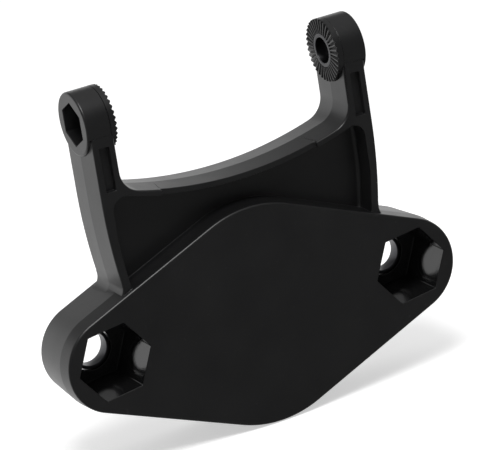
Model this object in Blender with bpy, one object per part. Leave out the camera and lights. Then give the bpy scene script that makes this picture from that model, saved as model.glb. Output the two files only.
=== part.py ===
"""Moulded yoke bracket: a lozenge base with two bolting lugs, and two arms that end in toothed ears.

Frame: +X along the line of the two lugs, +Z up towards the ears, -Y to the front.
The origin is the centre of the base's back face, midway between the lug holes.
"""
import math

import bmesh
import bpy
from mathutils import Matrix, Vector

MM = 0.001

# Base: a round centre and two round lugs under one taut outline.
LUG_SPACING = 88.0 * MM
LUG_WALL = 2.9 * MM             # least wall outside the pocket's corners
CENTRE_RADIUS = 30.3 * MM
BASE_DEPTH = 19.4 * MM
BASE_PARTING = 5.2 * MM         # mould parting line, behind the front face
BASE_DRAFT_BACK = 0.9 * MM      # inset of the outline at the back face
BASE_DRAFT_FRONT = 0.2 * MM     # inset of the outline at the front face
BASE_EDGE = 0.7 * MM            # rounding of the front and back edges

# Lug pockets, holes and their bushes.
POCKET_ACROSS_FLATS = 18.2 * MM
POCKET_TURN = math.radians(7.0)
POCKET_RISE = 0.5 * MM          # pocket centre above the lug centre
POCKET_FLOOR = 4.0 * MM         # material left behind the pocket
LUG_BUSH_BORE = 9.2 * MM
LUG_BUSH_WALL = 0.9 * MM
LUG_BUSH_RECESS = 0.1 * MM      # bush end below the faces round it

# Ribbed back of the base.
SKIN = 3.2 * MM
RIB = 2.2 * MM
CELL = 10.4 * MM
BASE_WALL = 2.8 * MM
POCKET_WALL = 2.4 * MM

# Arms, saddle and web.
ARM_INBOARD = 4.0 * MM          # outer side of the arm, inboard of the lug centre
ARM_WIDTH = 6.9 * MM
ARM_FLARE_RISE = 3.0 * MM       # the outer side is straight from this height above the saddle
ARM_FLARE_RADIUS = 150.0 * MM
ARM_DRAFT = 0.3 * MM
ARM_EDGE = 0.6 * MM
ARM_FOOT_FILLET = 3.0 * MM
SADDLE_RISE = 8.7 * MM          # middle of the saddle above the crown of the base
SADDLE_RADIUS = 105.0 * MM
SADDLE_FALL = 0.6 * MM          # fall of the saddle from its middle to its back edge
SADDLE_FILLET = 6.0 * MM
RIM = 1.8 * MM                  # saddle rim seen from the front
ARM_RIB = 2.6 * MM              # outer rib beside the web
WEB = 3.6 * MM
WEB_CORNER = 3.5 * MM
STEP_MARGIN = 10.4 * MM         # from the arm to the set-back middle of the saddle rim
STEP_DEPTH = 1.0 * MM
SLOT_WIDTH = 2.7 * MM
SLOT_DEPTH = 1.6 * MM
SLOT_FOOT_RISE = 5.6 * MM       # foot of the arm's slot above the saddle

# Ears, toothed rings and clamp bushes.
EAR_RISE = 23.1 * MM            # ear axis above the saddle
EAR_FORWARD = 0.4 * MM          # ear axis in front of the middle of the base's depth
EAR_RADIUS = 8.5 * MM
EAR_LIP = 0.4 * MM              # ear proud of the arm's front and back
EAR_PROUD = 0.7 * MM            # ear proud of the arm's outer side
EAR_WIDTH = 8.6 * MM            # outer face to tooth tips
EAR_EDGE = 0.5 * MM
RING_THICKNESS = 1.8 * MM       # tooth tips to the back of the ring
TOOTH_HEIGHT = 0.45 * MM
TOOTH_COUNT = 36
NUT_POCKET_DEPTH = 4.1 * MM
NUT_SEAT = 0.5 * MM             # least seat for the nut, round the bush's hole
CLAMP_BUSH_BORE = 7.0 * MM
CLAMP_BUSH_WALL = 0.8 * MM
FLANGE_LIP = 0.3 * MM
FLANGE_RECESS = 0.05 * MM       # flange face behind the tooth tips

GAP = 0.3 * MM                  # between separate pieces that touch
OVERSHOOT = 2.0 * MM            # how far a cutter runs past a face

LUG_X = LUG_SPACING / 2
POCKET_CORNER = POCKET_ACROSS_FLATS / math.sqrt(3)
LUG_RADIUS = POCKET_CORNER + LUG_WALL
LUG_BUSH_RADIUS = LUG_BUSH_BORE / 2 + LUG_BUSH_WALL
CLAMP_BUSH_RADIUS = CLAMP_BUSH_BORE / 2 + CLAMP_BUSH_WALL
FLANGE_RADIUS = CLAMP_BUSH_RADIUS + FLANGE_LIP
FLANGE_THICKNESS = RING_THICKNESS - FLANGE_RECESS
NUT_POCKET_ACROSS_FLATS = 2 * (CLAMP_BUSH_RADIUS + GAP + NUT_SEAT)
SADDLE_Z = CENTRE_RADIUS + SADDLE_RISE
SLOT_FOOT_Z = SADDLE_Z + SLOT_FOOT_RISE
EAR_AXIS_Z = SADDLE_Z + EAR_RISE
EAR_AXIS_Y = -BASE_DEPTH / 2 - EAR_FORWARD
ARM_DEPTH = 2 * (EAR_RADIUS - EAR_LIP)
ARM_OUTER_X = LUG_X - ARM_INBOARD
ARM_FLARE_Z = SADDLE_Z + ARM_FLARE_RISE
EAR_OUTER_X = ARM_OUTER_X + EAR_PROUD
RING_TIP_X = EAR_OUTER_X - EAR_WIDTH
RING_BACK_X = RING_TIP_X + RING_THICKNESS
EAR_SEAT_X = RING_BACK_X + GAP
NUT_SEAT_X = EAR_OUTER_X - NUT_POCKET_DEPTH
ARM_FRONT_Y = EAR_AXIS_Y - ARM_DEPTH / 2
ARM_BACK_Y = EAR_AXIS_Y + ARM_DEPTH / 2
ARM_INNER_X = ARM_OUTER_X - ARM_WIDTH
STEP_HALF_WIDTH = ARM_INNER_X - STEP_MARGIN
WEB_FRONT_Y = EAR_AXIS_Y - WEB / 2
WEB_BACK_Y = EAR_AXIS_Y + WEB / 2


def clear_scene():
    for item in list(bpy.data.objects):
        bpy.data.objects.remove(item, do_unlink=True)


def new_collection(name):
    collection = bpy.data.collections.new(name)
    bpy.context.scene.collection.children.link(collection)
    return collection


def new_material(name, colour, metallic, roughness):
    material = bpy.data.materials.new(name)
    material.use_nodes = True
    shader = material.node_tree.nodes["Principled BSDF"]
    shader.inputs["Base Color"].default_value = (*colour, 1.0)
    shader.inputs["Metallic"].default_value = metallic
    shader.inputs["Roughness"].default_value = roughness
    return material


clear_scene()
PARTS = new_collection("yoke_bracket")
CUTTERS = new_collection("cutters")
NYLON = new_material("black_nylon", (0.022, 0.022, 0.024), 0.0, 0.42)
ZINC = new_material("zinc_plated_steel", (0.55, 0.55, 0.53), 1.0, 0.38)
BLACK_STEEL = new_material("black_oxide_steel", (0.06, 0.06, 0.065), 1.0, 0.45)


def place_part(item, material):
    PARTS.objects.link(item)
    item.data.materials.append(material)


def place_cutter(item):
    CUTTERS.objects.link(item)
    item.hide_render = True
    item.display_type = "WIRE"


def mesh_object(name, bm):
    """Close a bmesh into an object whose faces point outwards."""
    bmesh.ops.recalc_face_normals(bm, faces=bm.faces[:])
    mesh = bpy.data.meshes.new(name)
    bm.to_mesh(mesh)
    bm.free()
    return bpy.data.objects.new(name, mesh)


def arc(centre, radius, start, end, steps):
    """Points on an arc in the XZ plane, from angle start to angle end, both ends included."""
    turn = (end - start) / steps
    return [
        (centre[0] + radius * math.cos(start + turn * i), centre[1] + radius * math.sin(start + turn * i))
        for i in range(steps + 1)
    ]


def mirrored(right_half):
    """The whole loop of an outline whose right half runs counter-clockwise from bottom to top."""
    left_half = [(-x, z) for x, z in reversed(right_half)]
    return right_half + [point for point in left_half if abs(point[0]) > 1e-7]


def inset_loop(loop, inset):
    """Move a counter-clockwise loop inwards by the inset, square to its sides."""
    moved = []
    for i, (x, z) in enumerate(loop):
        before = Vector(loop[i - 1])
        after = Vector(loop[(i + 1) % len(loop)])
        here = Vector((x, z))
        first = (here - before).normalized()
        second = (after - here).normalized()
        inward = Vector((-first.y - second.y, first.x + second.x)).normalized()
        reach = inset / max(inward.dot(Vector((-first.y, first.x))), 0.5)
        moved.append((x + inward.x * reach, z + inward.y * reach))
    return moved


def bridge(bm, rings):
    """Join each ring of vertices to the next with four-sided faces."""
    for near, far in zip(rings, rings[1:]):
        for i in range(len(near)):
            j = (i + 1) % len(near)
            bm.faces.new((near[i], near[j], far[j], far[i]))


def capped(name, bm, rings):
    """A solid whose skin runs through the rings and is closed at both ends."""
    bm.faces.new(rings[0])
    bm.faces.new(rings[-1])
    bridge(bm, rings)
    return mesh_object(name, bm)


def loft_along_y(name, layers):
    """A solid through outlines of equal point count. layers holds pairs of y and loop."""
    bm = bmesh.new()
    rings = [[bm.verts.new((x, y, z)) for x, z in loop] for y, loop in layers]
    return capped(name, bm, rings)


def box(name, low, high):
    bm = bmesh.new()
    size = [b - a for a, b in zip(low, high)]
    centre = [(a + b) / 2 for a, b in zip(low, high)]
    bmesh.ops.create_cube(bm, size=1.0, matrix=Matrix.Translation(centre) @ Matrix.Diagonal((*size, 1.0)))
    return mesh_object(name, bm)


def rod(name, radius, start, end, segments=48):
    """A cylinder from point start to point end."""
    start, end = Vector(start), Vector(end)
    bm = bmesh.new()
    matrix = Matrix.Translation((start + end) / 2) @ (end - start).to_track_quat("Z", "Y").to_matrix().to_4x4()
    bmesh.ops.create_cone(
        bm, cap_ends=True, segments=segments, radius1=radius, radius2=radius, depth=(end - start).length,
        matrix=matrix,
    )
    return mesh_object(name, bm)


def hexagon(name, across_flats, start, end, turn):
    """A hexagonal prism whose corners start on the cross-axis, turned about its own axis."""
    start, end = Vector(start), Vector(end)
    along_y = abs((end - start).y) > abs((end - start).x)
    bm = bmesh.new()
    side = Vector((1, 0, 0)) if along_y else Vector((0, 1, 0))
    up = Vector((0, 0, 1))
    corner = across_flats / math.sqrt(3)
    angles = [turn + math.radians(60 * i) for i in range(6)]
    spokes = [corner * (side * math.cos(angle) + up * math.sin(angle)) for angle in angles]
    rings = [[bm.verts.new(centre + spoke) for spoke in spokes] for centre in (start, end)]
    return capped(name, bm, rings)


def boolean(item, other, operation):
    place_cutter(other)
    modifier = item.modifiers.new(other.name, "BOOLEAN")
    modifier.operation = operation
    modifier.object = other
    modifier.solver = "EXACT"


def base_outline(inset=0.0):
    """The taut outline round the centre disc and both lugs."""
    centre = CENTRE_RADIUS - inset
    lug = LUG_RADIUS - inset
    lean = math.acos((centre - lug) / LUG_X)
    right = arc((0, 0), centre, -math.pi / 2, -lean, 5)
    right += arc((LUG_X, 0), lug, -lean, lean, 22)
    right += arc((0, 0), centre, lean, math.pi / 2, 5)
    return mirrored(right)


def make_base():
    layers = [
        (-BASE_DEPTH, base_outline(BASE_DRAFT_FRONT + BASE_EDGE)),
        (-BASE_DEPTH + BASE_EDGE * 0.3, base_outline(BASE_DRAFT_FRONT + BASE_EDGE * 0.3)),
        (-BASE_DEPTH + BASE_EDGE, base_outline(BASE_DRAFT_FRONT)),
        (-BASE_DEPTH + BASE_PARTING, base_outline()),
        (-BASE_EDGE, base_outline(BASE_DRAFT_BACK)),
        (-BASE_EDGE * 0.3, base_outline(BASE_DRAFT_BACK + BASE_EDGE * 0.3)),
        (0.0, base_outline(BASE_DRAFT_BACK + BASE_EDGE)),
    ]
    return loft_along_y("yoke_body", layers)


def arm_outer_x(z):
    """The arm's outer side: straight above ARM_FLARE_Z, curving in below it."""
    drop = max(ARM_FLARE_Z - z, 0.0)
    return ARM_OUTER_X - ARM_FLARE_RADIUS + math.sqrt(ARM_FLARE_RADIUS ** 2 - drop ** 2)


def saddle_z(x, lower=0.0):
    """Top of the saddle at x, or a line concentric with it that is lower."""
    radius = SADDLE_RADIUS + lower
    return SADDLE_Z + SADDLE_RADIUS - math.sqrt(radius ** 2 - x ** 2)


def frame_outline(fall=0.0):
    """Arms and saddle in one loop, with the saddle lower by the fall. The foot lies inside the base."""
    lean = math.acos((CENTRE_RADIUS - LUG_RADIUS) / LUG_X)
    normal = (math.cos(lean), math.sin(lean))
    foot_x = arm_outer_x(SADDLE_Z / 2)
    fillet_x = foot_x + ARM_FOOT_FILLET
    fillet_z = (CENTRE_RADIUS - BASE_DRAFT_BACK + ARM_FOOT_FILLET - normal[0] * fillet_x) / normal[1]
    foot_z = fillet_z - 2 * ARM_FOOT_FILLET
    right = [(0.0, foot_z), (foot_x, foot_z)]
    right += arc((fillet_x, fillet_z), ARM_FOOT_FILLET, lean + math.pi, math.pi, 4)
    flare = 6
    for i in range(1, flare + 1):
        z = fillet_z + (ARM_FLARE_Z - fillet_z) * i / flare
        right.append((arm_outer_x(z), z))
    top = EAR_AXIS_Z - math.sqrt(EAR_RADIUS ** 2 - (ARM_DEPTH / 2) ** 2) + GAP
    right += [(ARM_OUTER_X, top), (ARM_INNER_X, top)]
    centre_z = SADDLE_Z + SADDLE_RADIUS - fall
    corner_x = ARM_INNER_X - SADDLE_FILLET
    rise = math.sqrt((SADDLE_RADIUS - SADDLE_FILLET) ** 2 - corner_x ** 2)
    corner_z = centre_z - rise
    end = -math.atan2(rise, corner_x)
    right += arc((corner_x, corner_z), SADDLE_FILLET, 0.0, end, 6)
    saddle = 8
    touch_x = corner_x * SADDLE_RADIUS / (SADDLE_RADIUS - SADDLE_FILLET)
    for i in range(1, saddle + 1):
        x = touch_x * (saddle - i) / saddle
        right.append((x, centre_z - math.sqrt(SADDLE_RADIUS ** 2 - x ** 2)))
    return mirrored(right)


def recess_outline():
    """The space beside the web: under the saddle rim and inside the arms' outer ribs."""
    foot_z = CENTRE_RADIUS / 2
    right = [(0.0, foot_z), (arm_outer_x(foot_z) - ARM_RIB, foot_z)]
    side_x = ARM_OUTER_X - ARM_RIB - ARM_DRAFT
    for i in range(1, 5):
        z = foot_z + (SADDLE_Z - foot_z) * i / 4
        right.append((min(arm_outer_x(z) - ARM_RIB, side_x), z))
    round_x = side_x - WEB_CORNER
    right += arc((round_x, SADDLE_Z), WEB_CORNER, 0.0, math.pi / 2, 5)[1:]
    edge = 9
    for i in range(1, edge + 1):
        x = round_x * (edge - i) / edge
        right.append((x, saddle_z(x, RIM)))
    return mirrored(right)


def make_frame():
    outline = frame_outline()
    fallen = frame_outline(SADDLE_FALL)
    edge_steps = ((0.0, 1.0), (0.3, 0.3), (1.0, 0.0))
    front = [(ARM_FRONT_Y + ARM_EDGE * back, inset_loop(outline, ARM_DRAFT + ARM_EDGE * inset))
             for back, inset in edge_steps]
    back = [(ARM_BACK_Y - ARM_EDGE * back, inset_loop(fallen, ARM_DRAFT + ARM_EDGE * inset))
            for back, inset in reversed(edge_steps)]
    frame = loft_along_y("frame", front + [(EAR_AXIS_Y, outline)] + back)
    recess = recess_outline()
    boolean(frame, loft_along_y("recess_front", [(ARM_FRONT_Y - OVERSHOOT, recess), (WEB_FRONT_Y, recess)]),
            "DIFFERENCE")
    boolean(frame, loft_along_y("recess_back", [(WEB_BACK_Y, recess), (ARM_BACK_Y + OVERSHOOT, recess)]),
            "DIFFERENCE")
    step = box("rim_step",
               (-STEP_HALF_WIDTH, ARM_FRONT_Y - OVERSHOOT, saddle_z(0.0, RIM) - OVERSHOOT),
               (STEP_HALF_WIDTH, ARM_FRONT_Y + STEP_DEPTH, saddle_z(STEP_HALF_WIDTH) + OVERSHOOT))
    boolean(frame, step, "DIFFERENCE")
    return frame


def make_ear(side):
    """The ear's barrel, with its outer edge rounded."""
    name = "ear_right" if side > 0 else "ear_left"
    steps = (
        (EAR_SEAT_X, 0.0), (EAR_OUTER_X - EAR_EDGE, 0.0), (EAR_OUTER_X - EAR_EDGE * 0.3, 0.3),
        (EAR_OUTER_X, 1.0),
    )
    bm = bmesh.new()
    rings = []
    for x, inset in steps:
        radius = EAR_RADIUS - EAR_EDGE * inset
        points = arc((EAR_AXIS_Y, EAR_AXIS_Z), radius, 0.0, 2 * math.pi, 48)[:-1]
        rings.append([bm.verts.new((side * x, y, z)) for y, z in points])
    return capped(name, bm, rings)


def make_cells():
    """Square cells between the ribs behind the base, inside its walls and clear of the middle pad."""
    bm = bmesh.new()
    pitch = CELL + RIB
    columns = math.ceil(LUG_X / pitch)
    rows = math.ceil(CENTRE_RADIUS / pitch)
    for column in range(-columns, columns + 1):
        for row in range(-rows, rows + 1):
            if column == 0 and row == 0:
                continue
            centre = (column * pitch, OVERSHOOT - BASE_DEPTH / 2, row * pitch)
            size = Matrix.Diagonal((CELL, BASE_DEPTH, CELL, 1.0))
            bmesh.ops.create_cube(bm, size=1.0, matrix=Matrix.Translation(centre) @ size)
    cells = mesh_object("cells", bm)
    wall = base_outline(BASE_DRAFT_BACK + BASE_WALL)
    inside = loft_along_y("cell_limit", [(-BASE_DEPTH + SKIN, wall), (OVERSHOOT / 2, wall)])
    boolean(cells, inside, "INTERSECT")
    for side in (-1, 1):
        reach = POCKET_CORNER + POCKET_WALL
        front = (side * LUG_X, -BASE_DEPTH - OVERSHOOT, POCKET_RISE)
        back = (side * LUG_X, OVERSHOOT * 2, POCKET_RISE)
        lug = rod("cell_keepout_%d" % (side + 1), reach, front, back)
        boolean(cells, lug, "DIFFERENCE")
    return cells


def cut_lug(body, side):
    tag = "right" if side > 0 else "left"
    x = side * LUG_X
    pocket = hexagon("lug_pocket_" + tag, POCKET_ACROSS_FLATS,
                     (x, -BASE_DEPTH - OVERSHOOT, POCKET_RISE), (x, -POCKET_FLOOR, POCKET_RISE), POCKET_TURN)
    boolean(body, pocket, "DIFFERENCE")
    hole = rod("lug_hole_" + tag, LUG_BUSH_RADIUS + GAP, (x, -POCKET_FLOOR - OVERSHOOT, 0), (x, OVERSHOOT, 0), 40)
    boolean(body, hole, "DIFFERENCE")


def cut_arm(body, side):
    tag = "right" if side > 0 else "left"
    middle = side * (ARM_OUTER_X + ARM_INNER_X) / 2
    slot_top = EAR_AXIS_Z - math.sqrt(EAR_RADIUS ** 2 - (EAR_RADIUS - ARM_RIB) ** 2)
    front_y = ARM_FRONT_Y + SLOT_DEPTH
    back_y = ARM_BACK_Y - SLOT_DEPTH
    low_x, high_x = middle - SLOT_WIDTH / 2, middle + SLOT_WIDTH / 2
    front = box("slot_front_" + tag, (low_x, ARM_FRONT_Y - OVERSHOOT, SLOT_FOOT_Z), (high_x, front_y, slot_top))
    back = box("slot_back_" + tag, (low_x, back_y, SLOT_FOOT_Z), (high_x, ARM_BACK_Y + OVERSHOOT, slot_top))
    boolean(body, front, "DIFFERENCE")
    boolean(body, back, "DIFFERENCE")


def cut_ear(body, side):
    tag = "right" if side > 0 else "left"

    def at(x):
        return (side * x, EAR_AXIS_Y, EAR_AXIS_Z)

    seat = rod("ring_seat_" + tag, EAR_RADIUS + GAP, at(RING_TIP_X - OVERSHOOT), at(EAR_SEAT_X))
    bore = rod("ear_bore_" + tag, CLAMP_BUSH_RADIUS + GAP, at(RING_TIP_X), at(EAR_OUTER_X), 40)
    nut = hexagon("nut_pocket_" + tag, NUT_POCKET_ACROSS_FLATS, at(NUT_SEAT_X), at(EAR_OUTER_X + OVERSHOOT), 0.0)
    for cutter in (seat, bore, nut):
        boolean(body, cutter, "DIFFERENCE")


def make_yoke_body():
    """One moulding: base, lugs, web, saddle, arms and ears."""
    body = make_base()
    place_part(body, NYLON)
    boolean(body, make_frame(), "UNION")
    for side in (-1, 1):
        boolean(body, make_ear(side), "UNION")
    boolean(body, make_cells(), "DIFFERENCE")
    for side in (-1, 1):
        cut_lug(body, side)
        cut_arm(body, side)
        cut_ear(body, side)


def make_toothed_ring(side):
    """Ring pressed on the ear's inner face, with radial teeth towards the other ear."""
    name = "rosette_right" if side > 0 else "rosette_left"
    inner = FLANGE_RADIUS + GAP
    root_x = RING_TIP_X + TOOTH_HEIGHT
    bm = bmesh.new()

    def ring(radius, xs):
        count = 2 * TOOTH_COUNT
        points = []
        for i in range(count):
            angle = math.pi * (i + 0.5) / TOOTH_COUNT
            y = EAR_AXIS_Y + radius * math.cos(angle)
            z = EAR_AXIS_Z + radius * math.sin(angle)
            points.append(bm.verts.new((side * xs[i % 2], y, z)))
        return points

    rings = [
        ring(EAR_RADIUS, (RING_BACK_X, RING_BACK_X)),
        ring(EAR_RADIUS, (RING_TIP_X, root_x)),
        ring(inner, (RING_TIP_X, root_x)),
        ring(inner, (RING_BACK_X, RING_BACK_X)),
    ]
    bridge(bm, rings + rings[:1])
    place_part(mesh_object(name, bm), NYLON)


def turned(name, profile, origin, axis, material, segments=48):
    """A turned piece. profile holds pairs of radius and distance along the axis."""
    bm = bmesh.new()
    points = [bm.verts.new((radius, 0.0, along)) for radius, along in profile]
    for near, far in zip(points, points[1:] + points[:1]):
        bm.edges.new((near, far))
    bmesh.ops.spin(bm, geom=bm.verts[:] + bm.edges[:], cent=(0, 0, 0), axis=(0, 0, 1),
                   angle=2 * math.pi, steps=segments, use_merge=True)
    bmesh.ops.remove_doubles(bm, verts=bm.verts[:], dist=1e-7)
    turn = Vector(axis).to_track_quat("Z", "Y").to_matrix().to_4x4()
    bmesh.ops.transform(bm, matrix=Matrix.Translation(origin) @ turn, verts=bm.verts[:])
    place_part(mesh_object(name, bm), material)


def make_clamp_bush(side):
    """Flanged bush that carries the clamp bolt through the ear, flange against the ear's inner face."""
    name = "clamp_bush_right" if side > 0 else "clamp_bush_left"
    bore = CLAMP_BUSH_BORE / 2
    length = NUT_SEAT_X - RING_BACK_X + FLANGE_THICKNESS - LUG_BUSH_RECESS
    profile = [
        (bore, 0.0), (FLANGE_RADIUS, 0.0), (FLANGE_RADIUS, FLANGE_THICKNESS),
        (CLAMP_BUSH_RADIUS, FLANGE_THICKNESS), (CLAMP_BUSH_RADIUS, length), (bore, length),
    ]
    start_x = side * (RING_BACK_X - FLANGE_THICKNESS)
    turned(name, profile, (start_x, EAR_AXIS_Y, EAR_AXIS_Z), (side, 0, 0), ZINC)


def make_lug_bush(side):
    """Plain bush in the floor of the lug pocket, so a mounting bolt does not crush the moulding."""
    name = "lug_bush_right" if side > 0 else "lug_bush_left"
    bore = LUG_BUSH_BORE / 2
    length = POCKET_FLOOR - 2 * LUG_BUSH_RECESS
    profile = [(bore, 0.0), (LUG_BUSH_RADIUS, 0.0), (LUG_BUSH_RADIUS, length), (bore, length)]
    turned(name, profile, (side * LUG_X, -LUG_BUSH_RECESS, 0.0), (0, -1, 0), BLACK_STEEL)


make_yoke_body()
for hand in (-1, 1):
    make_toothed_ring(hand)
    make_clamp_bush(hand)
    make_lug_bush(hand)
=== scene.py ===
"""A moulded yoke bracket: lozenge base, two arms with toothed ears, steel bushes in its bores."""
import math

import bpy
from mathutils import Euler, Matrix, Vector


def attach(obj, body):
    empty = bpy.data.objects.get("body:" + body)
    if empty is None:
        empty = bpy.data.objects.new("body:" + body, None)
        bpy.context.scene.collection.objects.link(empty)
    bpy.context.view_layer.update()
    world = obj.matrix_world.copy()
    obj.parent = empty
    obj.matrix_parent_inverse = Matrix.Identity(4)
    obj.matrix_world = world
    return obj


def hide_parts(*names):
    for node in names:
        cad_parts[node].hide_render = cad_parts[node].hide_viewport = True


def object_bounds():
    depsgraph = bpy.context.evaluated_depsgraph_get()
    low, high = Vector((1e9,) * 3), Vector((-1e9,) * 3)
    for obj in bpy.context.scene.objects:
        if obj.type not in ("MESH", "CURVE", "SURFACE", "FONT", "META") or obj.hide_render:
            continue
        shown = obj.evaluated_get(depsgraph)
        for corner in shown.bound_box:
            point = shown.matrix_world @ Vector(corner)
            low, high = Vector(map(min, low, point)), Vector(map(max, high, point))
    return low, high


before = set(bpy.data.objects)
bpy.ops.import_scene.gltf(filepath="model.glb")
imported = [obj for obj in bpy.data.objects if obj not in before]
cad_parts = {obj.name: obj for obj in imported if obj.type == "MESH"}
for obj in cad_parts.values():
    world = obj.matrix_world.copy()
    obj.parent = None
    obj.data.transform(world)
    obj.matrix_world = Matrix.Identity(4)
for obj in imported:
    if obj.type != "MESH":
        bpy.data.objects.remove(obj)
cad_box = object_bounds()
MM = 0.001


# Camera. It stands a metre off to the left and a little above, on a long lens, and leans sideways,
# so that the bracket's arms climb to the right.
bpy.ops.object.camera_add(location=(-383.8 * MM, -854.4 * MM, 339.9 * MM))
camera = bpy.context.object
camera.name = "camera"
aim = Euler((math.radians(90 - 18.905), 0, math.radians(-24.657))).to_matrix()
lean = Matrix.Rotation(math.radians(-9.134), 3, "Z")
camera.rotation_euler = (aim @ lean).to_euler()
camera.data.sensor_width = 36
camera.data.lens = 270.36
camera.data.clip_start = 0.05
camera.data.clip_end = 60
bpy.context.scene.camera = camera


# Shader language of the room and the finishes. A wrapped socket takes part in plain sums, and each
# sum adds its Math node.
class Value:
    """One output of a node, that can be added, multiplied and so on."""

    def __init__(self, tree, socket):
        self.tree = tree
        self.socket = socket

    def math(self, operation, first, second):
        node = self.tree.nodes.new("ShaderNodeMath")
        node.operation = operation
        plug(self.tree, first, node.inputs[0])
        plug(self.tree, second, node.inputs[1])
        return Value(self.tree, node.outputs[0])

    def __add__(self, other):
        return self.math("ADD", self, other)

    __radd__ = __add__

    def __mul__(self, other):
        return self.math("MULTIPLY", self, other)

    __rmul__ = __mul__

    def __sub__(self, other):
        return self.math("SUBTRACT", self, other)

    def __rsub__(self, other):
        return self.math("SUBTRACT", other, self)


def plug(tree, item, slot_in):
    """Link a wrapped socket to an input, or set the input to a plain value."""
    if isinstance(item, Value):
        tree.links.new(item.socket, slot_in)
    else:
        slot_in.default_value = item


class Nodes:
    """The nodes of a material or of the room, which are added one by one."""

    def __init__(self, owner, shader="Principled BSDF"):
        owner.use_nodes = True
        self.tree = owner.node_tree
        self.shader = self.tree.nodes[shader]

    def node(self, kind, settings, sockets, output=0):
        """Add a node, set its settings, then fill its sockets by name or number."""
        made = self.tree.nodes.new("ShaderNode" + kind)
        for key, value in settings.items():
            setattr(made, key, value)
        for key, item in sockets.items():
            plug(self.tree, item, made.inputs[key])
        return Value(self.tree, made.outputs[output])

    def ramp(self, value, low, high):
        """0 below low and 1 above high, or the other way round where high is less than low."""
        limits = {"Value": value, "From Min": low, "From Max": high}
        return self.node("MapRange", {"interpolation_type": "SMOOTHSTEP"}, limits)

    def along(self, vector, axis):
        """How far a vector reaches along an axis."""
        return self.node("VectorMath", {"operation": "DOT_PRODUCT"}, {0: vector, 1: axis}, output="Value")

    def reach(self, vector, centre, keep):
        """Distance of a point from a centre, counting only the directions to keep."""
        apart = self.node("VectorMath", {"operation": "SUBTRACT"}, {0: vector, 1: centre})
        flat = self.node("VectorMath", {"operation": "MULTIPLY"}, {0: apart, 1: keep})
        return self.node("VectorMath", {"operation": "LENGTH"}, {0: flat}, output="Value")

    def feed(self, sockets):
        """Give the shader its values or links."""
        for key, item in sockets.items():
            plug(self.tree, item, self.shader.inputs[key])


# Studio. A plain white table under the base, pale behind and dark on the camera's side, as in a
# product studio, and one soft box overhead that draws the thin bright edges.
bpy.context.scene.view_settings.view_transform = "Standard"
bpy.ops.mesh.primitive_plane_add(size=30, location=(0, 0, cad_box[0].z))
floor = bpy.context.object
floor.name = "floor"
floor_paint = bpy.data.materials.new("floor_paint")
Nodes(floor_paint).feed({
    "Base Color": (0.9, 0.9, 0.9, 1), "Roughness": 0.9, "Specular IOR Level": 0.1,
    "Emission Color": (1, 1, 1, 1), "Emission Strength": 0.5})
floor.data.materials.append(floor_paint)
floor.visible_glossy = False

bpy.context.scene.world = bpy.data.worlds.new("room")
room = Nodes(bpy.context.scene.world, "Background")
facing = room.node("TexCoord", {}, {}, output="Generated")
behind = room.ramp(room.along(facing, (0, 1, 0)), -0.1, 0.6)
low = room.ramp(room.along(facing, (0, 0, 1)), 0.52, 0.16)
overhead = room.ramp(room.along(facing, (0, 0, 1)), 0.45, 0.95)
room.feed({"Color": (1, 1, 1, 1), "Strength": behind * low * 0.95 + overhead * 0.42 + 0.13})

bpy.ops.object.light_add(type="AREA", location=(-0.25, -0.45, 1.0))
soft_box = bpy.context.object
soft_box.name = "soft_box"
soft_box.data.size = 0.4
soft_box.data.energy = 7
soft_box.rotation_euler = soft_box.location.to_track_quat("Z", "Y").to_euler()


# Black nylon with glass fibre, as it leaves the mould: a fine satin grain, a slow unevenness in the
# gloss where the melt cooled, pale specks, and polished walls in the two lug pockets.
black_nylon = bpy.data.materials.new("black_nylon")
nylon = Nodes(black_nylon)
here = nylon.node("TexCoord", {}, {}, output="Object")
grain = nylon.node("TexNoise", {}, {"Vector": here, "Scale": 2600.0, "Detail": 3.0, "Roughness": 0.6})
cooling = nylon.node("TexNoise", {}, {"Vector": here, "Scale": 90.0, "Detail": 3.0, "Roughness": 0.55})
drift = nylon.node("TexNoise", {}, {"Vector": here, "Scale": 28.0, "Detail": 1.0})
specks = nylon.node("TexNoise", {}, {"Vector": here, "Scale": 1100.0, "Detail": 2.0})
fold = nylon.node("VectorMath", {"operation": "ABSOLUTE"}, {0: here})
from_pocket = nylon.reach(fold, (44 * MM, 0, 0.5 * MM), (1, 0, 1))
depth = nylon.along(here, (0, 1, 0))
polished = nylon.ramp(from_pocket, 11.2 * MM, 11.0 * MM) * nylon.ramp(depth, -19.3 * MM, -19.1 * MM)
tone = nylon.node(
    "Mix", {"data_type": "RGBA"},
    {0: nylon.ramp(specks, 0.66, 0.78) * 0.5 + cooling * 0.35,
     6: (0.0055, 0.0055, 0.0060, 1), 7: (0.0200, 0.0200, 0.0198, 1)}, output=2)
matt = cooling * 0.14 + grain * 0.05 + 0.26
grained = nylon.node("Bump", {}, {"Height": grain, "Strength": 0.2, "Distance": 0.06 * MM})
waved = nylon.node("Bump", {}, {"Height": drift, "Strength": 0.1, "Distance": 0.9 * MM, "Normal": grained})
nylon.feed({"Base Color": tone, "Roughness": matt - polished * (matt - 0.09), "Normal": waved})


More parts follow.
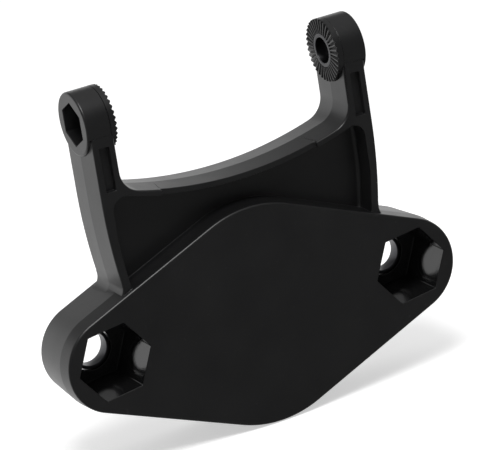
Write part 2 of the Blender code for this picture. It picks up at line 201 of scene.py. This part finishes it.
# The moulding. One piece of nylon: a lozenge base on a flat back, a web with a rim over it, and two
# arms that end in barrels for the clamp bolts. It is drawn from its parting planes to front and back.
LUG_X = 44.0 * MM
LUG_RADIUS = 13.41 * MM
CROWN = 30.3 * MM
FRONT_Y = -19.4 * MM
PARTING_Y = -14.2 * MM
AXIS_Y = -10.1 * MM
AXIS_Z = 62.1 * MM
ARM_FRONT_Y = -18.2 * MM
ARM_BACK_Y = -2.0 * MM
ARM_OUTER_X = 40.0 * MM
ARM_INNER_X = 33.1 * MM
SADDLE_Z = 39.0 * MM
SADDLE_RADIUS = 105.0 * MM
EAR_RADIUS = 8.5 * MM
EAR_OUTER_X = 40.7 * MM
RING_BACK_X = 33.9 * MM
POCKET_RISE = 0.5 * MM
SLOT_DEPTH = 1.6 * MM
SLOT_HALF = 1.35 * MM
HAIR = 0.02 * MM
PARTING_LAND = 0.06 * MM


def arc(centre, radius, start, end, steps):
    """Points of an arc in the XZ plane, both ends included."""
    turn = (end - start) / steps
    angles = [start + turn * i for i in range(steps + 1)]
    return [(centre[0] + radius * math.cos(a), centre[1] + radius * math.sin(a)) for a in angles]


def with_mirror(half):
    """The whole loop of an outline whose right half runs from bottom to top."""
    return half + [(-x, z) for x, z in reversed(half) if abs(x) > 1e-7]


def round_over(radius, count=4):
    """Steps of inset and height that round an edge."""
    angles = [math.pi / 2 * i / count for i in range(count + 1)]
    pairs = zip(angles, angles[1:])
    return [(radius * (math.cos(a) - math.cos(b)), radius * (math.sin(b) - math.sin(a))) for a, b in pairs]


def pick_faces(piece, test):
    """Go into edit mode on a piece, with the faces that pass the test selected."""
    bpy.ops.object.select_all(action="DESELECT")
    piece.select_set(True)
    bpy.context.view_layer.objects.active = piece
    bpy.ops.object.mode_set(mode="EDIT")
    bpy.ops.mesh.select_mode(type="FACE")
    bpy.ops.mesh.select_all(action="DESELECT")
    bpy.ops.object.mode_set(mode="OBJECT")
    for face in piece.data.polygons:
        face.select = test(face)
    bpy.ops.object.mode_set(mode="EDIT")


def raise_faces(piece, test, steps):
    """Raise the picked faces in steps of inset and height."""
    pick_faces(piece, test)
    for inset, height in steps:
        bpy.ops.mesh.inset(thickness=inset, depth=height)
    bpy.ops.object.mode_set(mode="OBJECT")


def outline_slab(name, outline, y, front, back):
    """A solid drawn from an outline at depth y, raised towards the front and towards the back."""
    bpy.ops.object.select_all(action="DESELECT")
    bpy.ops.mesh.primitive_circle_add(vertices=len(outline), radius=0.01, fill_type="NGON")
    slab = bpy.context.object
    slab.name = name
    for corner, (x, z) in zip(slab.data.vertices, outline):
        corner.co = (x, y, z)
    bpy.ops.object.mode_set(mode="EDIT")
    bpy.ops.mesh.select_all(action="SELECT")
    bpy.ops.mesh.extrude_region_move(TRANSFORM_OT_translate={"value": (0, PARTING_LAND, 0)})
    bpy.ops.mesh.select_all(action="SELECT")
    bpy.ops.mesh.normals_make_consistent(inside=False)
    bpy.ops.object.mode_set(mode="OBJECT")
    raise_faces(slab, lambda face: face.normal.y < -0.9, front)
    raise_faces(slab, lambda face: face.normal.y > 0.9, back)
    return slab


def rounded_rod(name, radius, start, end, corners=96):
    """A plain round or many-sided rod from start to end."""
    start, end = Vector(start), Vector(end)
    turn = (end - start).to_track_quat("Z", "Y").to_euler()
    bpy.ops.object.select_all(action="DESELECT")
    bpy.ops.mesh.primitive_cylinder_add(
        vertices=corners, radius=radius, depth=(end - start).length, location=(start + end) / 2, rotation=turn)
    rod = bpy.context.object
    rod.name = name
    bpy.ops.object.transform_apply(location=True, rotation=True, scale=True)
    return rod


def block(name, low, high):
    """A plain block between two corners."""
    bpy.ops.object.select_all(action="DESELECT")
    middle = [(a + b) / 2 for a, b in zip(low, high)]
    bpy.ops.mesh.primitive_cube_add(size=1, location=middle)
    made = bpy.context.object
    made.name = name
    made.scale = [b - a for a, b in zip(low, high)]
    bpy.ops.object.transform_apply(location=True, rotation=True, scale=True)
    return made


def combine(piece, tool, operation):
    """Join a tool to the piece, or cut it away, and throw the tool out."""
    bpy.context.view_layer.objects.active = piece
    step = piece.modifiers.new(tool.name, "BOOLEAN")
    step.operation = operation
    step.solver = "EXACT"
    step.object = tool
    bpy.ops.object.modifier_apply(modifier=step.name)
    bpy.data.objects.remove(tool, do_unlink=True)


def base_outline(inset=0.0):
    """The taut line round the middle disc and the two lugs."""
    crown, lug = CROWN - inset, LUG_RADIUS - inset
    slope = math.acos((crown - lug) / LUG_X)
    half = arc((0, 0), crown, -math.pi / 2, -slope, 16)
    half += arc((LUG_X, 0), lug, -slope, slope, 64)
    half += arc((0, 0), crown, slope, math.pi / 2, 16)
    return with_mirror(half)


def arm_side(z):
    """The arm's outer side leans in below the saddle."""
    drop = max(42 * MM - z, 0)
    return ARM_OUTER_X - 150 * MM + math.sqrt((150 * MM) ** 2 - drop ** 2)


def saddle_line(x, lower=0.0):
    """Height of the saddle at x, or of a line that runs this much lower."""
    return SADDLE_Z + SADDLE_RADIUS - math.sqrt((SADDLE_RADIUS + lower) ** 2 - x ** 2)


def frame_outline():
    """Saddle and arms in one line, down to a foot hidden in the base."""
    foot = 3 * MM
    slope = math.acos((CROWN - LUG_RADIUS) / LUG_X)
    foot_x = arm_side(SADDLE_Z / 2) + foot
    foot_z = (CROWN - 0.3 * MM + foot - math.cos(slope) * foot_x) / math.sin(slope)
    toe = arc((foot_x, foot_z), foot, slope + math.pi, math.pi, 8)
    toe_x = toe[0][0] + 5 * MM * math.sin(slope) - 2.5 * MM * math.cos(slope)
    toe_z = toe[0][1] - 5 * MM * math.cos(slope) - 2.5 * MM * math.sin(slope)
    half = [(0.0, foot_z - 3 * foot), (foot_x - 2 * foot, foot_z - 3 * foot), (toe_x, toe_z)] + toe
    for i in range(1, 15):
        z = foot_z + (42 * MM - foot_z) * i / 14
        half.append((arm_side(z), z))
    half += [(ARM_OUTER_X, 59.8 * MM), (ARM_INNER_X, 59.8 * MM)]
    fillet = 6 * MM
    corner_x = ARM_INNER_X - fillet
    rise = math.sqrt((SADDLE_RADIUS - fillet) ** 2 - corner_x ** 2)
    half += arc((corner_x, SADDLE_Z + SADDLE_RADIUS - rise), fillet, 0, -math.atan2(rise, corner_x), 14)
    touch = corner_x * SADDLE_RADIUS / (SADDLE_RADIUS - fillet)
    half += [(touch * (24 - i) / 24, saddle_line(touch * (24 - i) / 24)) for i in range(1, 25)]
    return with_mirror(half)


def recess_outline():
    """The hollow beside the web, under the rim and between the outer ribs."""
    foot_z = CROWN / 2
    half = [(0.0, foot_z)]
    for i in range(13):
        z = foot_z + (SADDLE_Z - foot_z) * i / 12
        half.append((min(arm_side(z) - 2.6 * MM, 36.9 * MM), z))
    corner_x = 33.4 * MM
    half += arc((corner_x, SADDLE_Z), 3.5 * MM, 0, math.pi / 2, 8)[1:]
    half += [(corner_x * (24 - i) / 24, saddle_line(corner_x * (24 - i) / 24, 1.8 * MM)) for i in range(1, 25)]
    return with_mirror(half)


moulding = outline_slab(
    "moulding", base_outline(), PARTING_Y,
    [(0.2 * MM, 4.5 * MM)] + round_over(0.7 * MM),
    [(0.9 * MM, 13.44 * MM)] + round_over(0.7 * MM))
arms = outline_slab(
    "arms", frame_outline(), AXIS_Y,
    [(0.3 * MM, 7.5 * MM)] + round_over(0.6 * MM),
    [(0.3 * MM, 7.44 * MM)] + round_over(0.6 * MM))
for corner in arms.data.vertices:
    if corner.co.y > AXIS_Y and abs(corner.co.x) < 33.9 * MM and 30 * MM < corner.co.z < 55 * MM:
        corner.co.z -= 0.6 * MM * (corner.co.y - AXIS_Y) / (ARM_BACK_Y - AXIS_Y)
floor_steps = [(0.0, 9 * MM)] + round_over(1 * MM)
hollow = outline_slab("hollow", recess_outline(), AXIS_Y - 11.8 * MM - PARTING_LAND, [], floor_steps)
combine(arms, hollow, "DIFFERENCE")
hollow = outline_slab("hollow", recess_outline(), AXIS_Y + 11.8 * MM, floor_steps, [])
combine(arms, hollow, "DIFFERENCE")
step_half = 22.7 * MM
step_tool = block("step_tool", (-step_half, ARM_FRONT_Y - 2 * MM, 35 * MM),
                  (step_half, ARM_FRONT_Y + 1 * MM, 45 * MM))
combine(arms, step_tool, "DIFFERENCE")
combine(moulding, arms, "UNION")

for side in (-1, 1):
    barrel = rounded_rod(
        "barrel", EAR_RADIUS, (side * (RING_BACK_X + HAIR), AXIS_Y, AXIS_Z),
        (side * (EAR_OUTER_X - 0.6 * MM), AXIS_Y, AXIS_Z), corners=128)
    raise_faces(barrel, lambda face: face.normal.x * side > 0.9, round_over(0.6 * MM))
    combine(moulding, barrel, "UNION")

CELL_PITCH = 12.6 * MM
CELL_HALF = 5.2 * MM
CELL_FLOOR_Y = -16.2 * MM
seed = block("cell", (-CELL_HALF, CELL_FLOOR_Y, -CELL_HALF), (CELL_HALF, 2 * MM, CELL_HALF))
corners = seed.modifiers.new("corners", "BEVEL")
corners.width = 1.2 * MM
corners.segments = 3
corners.limit_method = "ANGLE"
bpy.ops.object.modifier_apply(modifier=corners.name)
copies = []
for column in range(-4, 5):
    for row in range(-3, 4):
        if column or row:
            copy = seed.copy()
            copy.data = seed.data.copy()
            bpy.context.collection.objects.link(copy)
            copy.location = (column * CELL_PITCH, 0, row * CELL_PITCH)
            copies.append(copy)
bpy.data.objects.remove(seed, do_unlink=True)
bpy.ops.object.select_all(action="DESELECT")
for copy in copies:
    copy.select_set(True)
bpy.context.view_layer.objects.active = copies[0]
bpy.ops.object.join()
cells = bpy.context.object
bpy.ops.object.transform_apply(location=True, rotation=True, scale=True)
limit = outline_slab("limit", base_outline(3.7 * MM), CELL_FLOOR_Y, [], [(0.0, 17.2 * MM)])
combine(cells, limit, "INTERSECT")
for side in (-1, 1):
    wall = rounded_rod("wall", 12.9 * MM, (side * LUG_X, -22 * MM, POCKET_RISE),
                       (side * LUG_X, 4 * MM, POCKET_RISE))
    combine(cells, wall, "DIFFERENCE")
combine(moulding, cells, "DIFFERENCE")

for side in (-1, 1):
    pocket_radius = 18.2 * MM / math.sqrt(3)
    hexagon = arc((side * LUG_X, POCKET_RISE), pocket_radius, math.radians(7), math.radians(307), 5)
    pocket_steps = [(0.0, 17.14 * MM)] + round_over(0.3 * MM, 2)
    pocket = outline_slab("pocket", hexagon, FRONT_Y - 2 * MM, [], pocket_steps)
    combine(moulding, pocket, "DIFFERENCE")
    hole = rounded_rod("hole", 5.8 * MM, (side * LUG_X, -6 * MM, 0), (side * LUG_X, 2 * MM, 0))
    combine(moulding, hole, "DIFFERENCE")
    middle = side * 36.55 * MM
    front_slot = (ARM_FRONT_Y - 2 * MM, ARM_FRONT_Y + SLOT_DEPTH)
    back_slot = (ARM_BACK_Y - SLOT_DEPTH, ARM_BACK_Y + 2 * MM)
    for low_y, high_y in (front_slot, back_slot):
        slot = block("slot", (middle - SLOT_HALF, low_y, 44.6 * MM), (middle + SLOT_HALF, high_y, 56.4 * MM))
        combine(moulding, slot, "DIFFERENCE")
    seat = rounded_rod("seat", EAR_RADIUS + 3 * HAIR, (side * 30 * MM, AXIS_Y, AXIS_Z),
                       (side * (RING_BACK_X + HAIR), AXIS_Y, AXIS_Z), corners=128)
    combine(moulding, seat, "DIFFERENCE")
    bore = rounded_rod("bore", 4.6 * MM, (side * 32 * MM, AXIS_Y, AXIS_Z), (side * 39 * MM, AXIS_Y, AXIS_Z))
    combine(moulding, bore, "DIFFERENCE")
    nut = rounded_rod("nut", 10.2 * MM / math.sqrt(3), (side * 36.6 * MM, AXIS_Y, AXIS_Z),
                      (side * 43 * MM, AXIS_Y, AXIS_Z), corners=6)
    combine(moulding, nut, "DIFFERENCE")

bpy.context.view_layer.objects.active = moulding
moulding.select_set(True)
bpy.ops.object.mode_set(mode="EDIT")
bpy.ops.mesh.select_all(action="SELECT")
bpy.ops.mesh.remove_doubles(threshold=0.003 * MM)
bpy.ops.object.mode_set(mode="OBJECT")
soften = moulding.modifiers.new("soften", "BEVEL")
soften.width = 0.22 * MM
soften.segments = 2
soften.limit_method = "ANGLE"
soften.angle_limit = math.radians(50)
soften.use_clamp_overlap = False
bpy.ops.object.modifier_apply(modifier=soften.name)
bpy.ops.object.shade_smooth_by_angle(angle=math.radians(38))
even = moulding.modifiers.new("even", "WEIGHTED_NORMAL")
even.keep_sharp = True
even.weight = 100
bpy.ops.object.modifier_apply(modifier=even.name)
moulding.data.materials.clear()
moulding.data.materials.append(black_nylon)
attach(moulding, "root")
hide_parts("yoke_body")


# Toothed rings. Nylon rings on the inner ends of the ears, with thirty-six radial teeth that lock a
# clamped hub at its tilt. Their bores clear the flanges of the bushes.
def open_bore(piece, direction, near_inset, far_inset):
    """Bore a turned piece through, leaving walls of the two insets at its ends."""
    def end_cap(face, sign):
        return face.normal.dot(direction) * sign > 0.9 and len(face.vertices) > 8
    for sign, inset in ((-1, near_inset), (1, far_inset)):
        pick_faces(piece, lambda face: end_cap(face, sign))
        bpy.ops.mesh.inset(thickness=inset, depth=0)
        bpy.ops.object.mode_set(mode="OBJECT")
    pick_faces(piece, lambda face: len(face.vertices) > 8)
    bpy.ops.mesh.bridge_edge_loops()
    bpy.ops.object.mode_set(mode="OBJECT")


RING_TIP_X = 32.1 * MM
TOOTH = 0.45 * MM
TEETH = 36
RING_BORE = 4.65 * MM
for side, tag in ((-1, "left"), (1, "right")):
    outward = Vector((side, 0, 0))
    root_x = RING_TIP_X + TOOTH
    ring = rounded_rod("toothed_ring_" + tag, EAR_RADIUS, (side * root_x, AXIS_Y, AXIS_Z),
                       (side * RING_BACK_X, AXIS_Y, AXIS_Z), corners=144)
    open_bore(ring, outward, EAR_RADIUS - RING_BORE, EAR_RADIUS - RING_BORE)
    pitch = 2 * math.pi * EAR_RADIUS / TEETH
    low, high = sorted((side * RING_TIP_X, side * (root_x + HAIR)))
    tooth = block("tooth", (low, AXIS_Y - pitch / 2, AXIS_Z + RING_BORE),
                  (high, AXIS_Y + pitch / 2, AXIS_Z + EAR_RADIUS - 0.05 * MM))
    pick_faces(tooth, lambda face: face.normal.z < -0.9)
    bpy.ops.transform.resize(value=(1, RING_BORE / EAR_RADIUS, 1))
    bpy.ops.object.mode_set(mode="OBJECT")
    pick_faces(tooth, lambda face: face.normal.x * side < -0.9)
    bpy.ops.transform.resize(value=(1, 0.22, 1))
    bpy.ops.mesh.select_all(action="SELECT")
    bpy.ops.mesh.spin(steps=TEETH - 1, angle=2 * math.pi * (TEETH - 1) / TEETH, dupli=True,
                      center=(0, AXIS_Y, AXIS_Z), axis=(1, 0, 0))
    bpy.ops.object.mode_set(mode="OBJECT")
    ring.select_set(True)
    tooth.select_set(True)
    bpy.context.view_layer.objects.active = ring
    bpy.ops.object.join()
    bpy.ops.object.shade_smooth_by_angle(angle=math.radians(25))
    ring.data.materials.clear()
    ring.data.materials.append(black_nylon)
    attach(ring, "root")
    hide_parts("rosette_" + tag)


# Clamp bushes. Flanged steel bushes pressed through the ears, turned and phosphated grey, so that
# the clamp bolt bears on steel.
def turned_steel(name, centre, keep, mirror, shade):
    """Dark steel with fine turning marks round an axis."""
    made = bpy.data.materials.new(name)
    steel = Nodes(made)
    here = steel.node("TexCoord", {}, {}, output="Object")
    if mirror:
        here = steel.node("VectorMath", {"operation": "ABSOLUTE"}, {0: here})
    radius = steel.reach(here, centre, keep)
    marks = steel.node("Math", {"operation": "SINE"}, {0: radius * (2 * math.pi / (0.11 * MM))})
    stain = steel.node("TexNoise", {}, {"Vector": here, "Scale": 700.0, "Detail": 3.0})
    dark = (*[c * 0.75 for c in shade], 1)
    pale = (*[c * 1.3 for c in shade], 1)
    tint = steel.node("Mix", {"data_type": "RGBA"}, {0: stain, 6: dark, 7: pale}, output=2)
    grooves = steel.node("Bump", {}, {"Height": marks, "Strength": 0.12, "Distance": 0.02 * MM})
    steel.feed({"Base Color": tint, "Metallic": 1.0, "Roughness": stain * 0.2 + 0.24, "Normal": grooves})
    return made


def round_edges(bush, width):
    """Round every edge of a turned bush, and smooth its shading."""
    rounding = bush.modifiers.new("rounding", "BEVEL")
    rounding.width = width
    rounding.segments = 3
    rounding.angle_limit = math.radians(40)
    bpy.ops.object.modifier_apply(modifier=rounding.name)
    bpy.ops.object.shade_smooth_by_angle(angle=math.radians(35))


phosphated = turned_steel("phosphated_steel", (0, AXIS_Y, AXIS_Z), (0, 1, 1), False, (0.05, 0.05, 0.053))
for side, tag in ((-1, "left"), (1, "right")):
    outward = Vector((side, 0, 0))
    bush = rounded_rod("flanged_bush_" + tag, 4.6 * MM, (side * (RING_TIP_X + 0.05 * MM), AXIS_Y, AXIS_Z),
                       (side * RING_BACK_X, AXIS_Y, AXIS_Z))
    raise_faces(bush, lambda face: face.normal.x * side > 0.9, [(0.3 * MM, 0), (0, 2.6 * MM)])
    open_bore(bush, outward, 1.1 * MM, 0.8 * MM)
    round_edges(bush, 0.15 * MM)
    bush.data.materials.clear()
    bush.data.materials.append(phosphated)
    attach(bush, "root")
    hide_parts("clamp_bush_" + tag)


# Lug bushes. Plain black-oxide steel bushes in the floors of the lug pockets, so that a mounting
# bolt does not crush the nylon.
black_oxide = turned_steel("black_oxide_steel", (LUG_X, 0, 0), (1, 0, 1), True, (0.06, 0.06, 0.065))
for side, tag in ((-1, "left"), (1, "right")):
    bush = rounded_rod("lug_sleeve_" + tag, 5.5 * MM,
                       (side * LUG_X, -3.9 * MM, 0), (side * LUG_X, -0.1 * MM, 0))
    open_bore(bush, Vector((0, 1, 0)), 0.9 * MM, 0.9 * MM)
    round_edges(bush, 0.2 * MM)
    bush.data.materials.clear()
    bush.data.materials.append(black_oxide)
    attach(bush, "root")
    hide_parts("lug_bush_" + tag)
